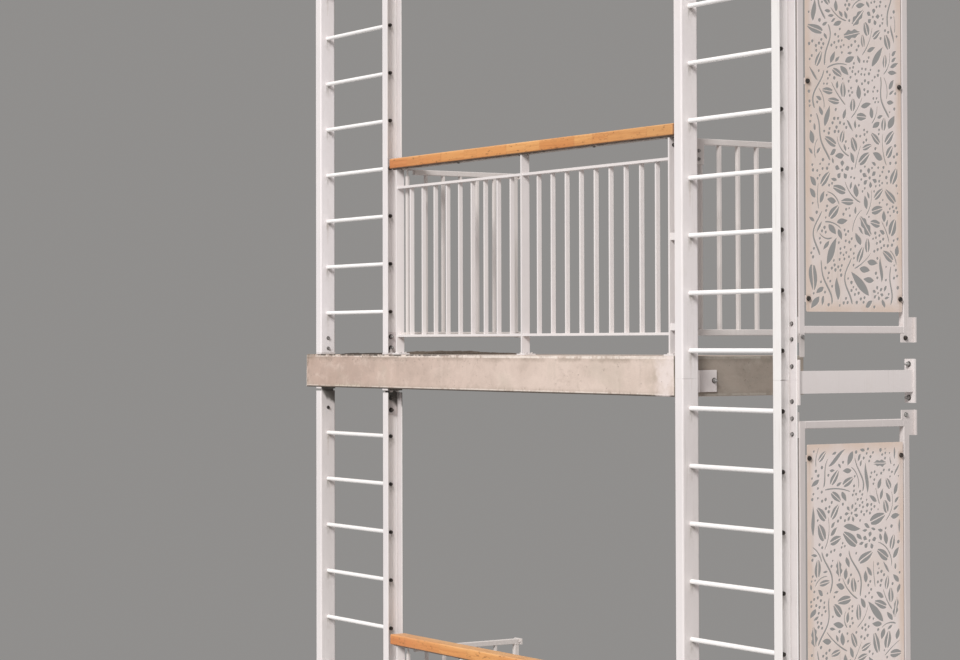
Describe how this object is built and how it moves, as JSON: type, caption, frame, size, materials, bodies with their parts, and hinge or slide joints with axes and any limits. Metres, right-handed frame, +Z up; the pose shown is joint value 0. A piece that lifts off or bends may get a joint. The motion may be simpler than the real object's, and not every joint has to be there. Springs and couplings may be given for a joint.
{
  "type": "escape ladder and balcony stack",
  "caption": "Pair of steel escape ladders serving stacked balconies with timber-topped railings and cut metal side screens, fixed to a house wall.",
  "frame": {"origin": "middle of the underside of the foot plate under the right ladder's left stile, on the ground", "axes": "+X to the right along the wall, +Y into the wall, +Z up"},
  "size_m": [4.618, 0.85, 9.422],
  "materials": {
    "painted_steel": "satin off-white paint over galvanized steel",
    "concrete": "weathered board-smooth concrete",
    "timber": "oiled hardwood",
    "cut_sheet": "satin off-white powder coat",
    "fasteners": "weathered zinc-plated bolts and nuts"
  },
  "bodies": {
    "root": {"slab_1": "concrete", "front_balustrade_1": "painted_steel", "handrail_1": "timber", "left_return_railing_1": "painted_steel", "right_return_railing_1": "painted_steel", "wall_bar_1": "painted_steel", "screen_frame_1": "painted_steel", "screen_sheet_1": "cut_sheet", "slab_2": "concrete", "front_balustrade_2": "painted_steel", "handrail_2": "timber", "left_return_railing_2": "painted_steel", "right_return_railing_2": "painted_steel", "wall_bar_2": "painted_steel", "screen_frame_2": "painted_steel", "screen_sheet_2": "cut_sheet", "slab_3": "concrete", "front_balustrade_3": "painted_steel", "handrail_3": "timber", "left_return_railing_3": "painted_steel", "right_return_railing_3": "painted_steel", "wall_bar_3": "painted_steel", "screen_frame_3": "painted_steel", "screen_sheet_3": "cut_sheet", "left_ladder_stiles_1": "painted_steel", "left_ladder_rungs_1": "painted_steel", "right_ladder_stiles_1": "painted_steel", "right_ladder_rungs_1": "painted_steel", "left_ladder_stiles_2": "painted_steel", "left_ladder_rungs_2": "painted_steel", "right_ladder_stiles_2": "painted_steel", "right_ladder_rungs_2": "painted_steel", "left_ladder_stiles_3": "painted_steel", "left_ladder_rungs_3": "painted_steel", "right_ladder_stiles_3": "painted_steel", "right_ladder_rungs_3": "painted_steel", "left_ladder_stiles_4": "painted_steel", "left_ladder_rungs_4": "painted_steel", "right_ladder_stiles_4": "painted_steel", "right_ladder_rungs_4": "painted_steel", "left_ladder_cleats": "painted_steel", "slab_brackets": "painted_steel", "foot_plates": "painted_steel"}
  },
  "joints": []
}
